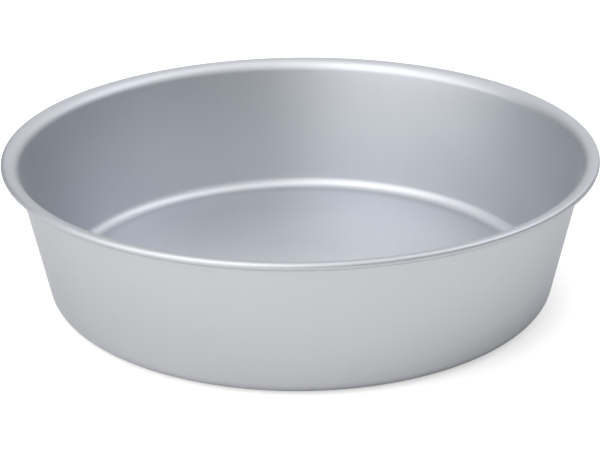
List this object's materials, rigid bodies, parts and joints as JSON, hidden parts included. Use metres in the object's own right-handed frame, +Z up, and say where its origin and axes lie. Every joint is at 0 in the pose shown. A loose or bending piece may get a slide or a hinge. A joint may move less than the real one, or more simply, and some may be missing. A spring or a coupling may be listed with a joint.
{
  "type": "pie pan",
  "caption": "Deep round baking pan with a flat floor, a straight sloping wall, a flared rim and an edge rolled under, drawn from one sheet.",
  "frame": {"origin": "middle of the flat underside, on the surface that the pan stands on", "axes": "+Z up along the pan's axis, out of its mouth; +X and +Y are alike, because the pan is round"},
  "size_m": [0.25, 0.25, 0.062],
  "materials": {
    "anodised_aluminium": "matt silver anodising with a fine upright draw grain on the wall"
  },
  "bodies": {
    "root": {"pan_body": "anodised_aluminium"}
  },
  "joints": []
}
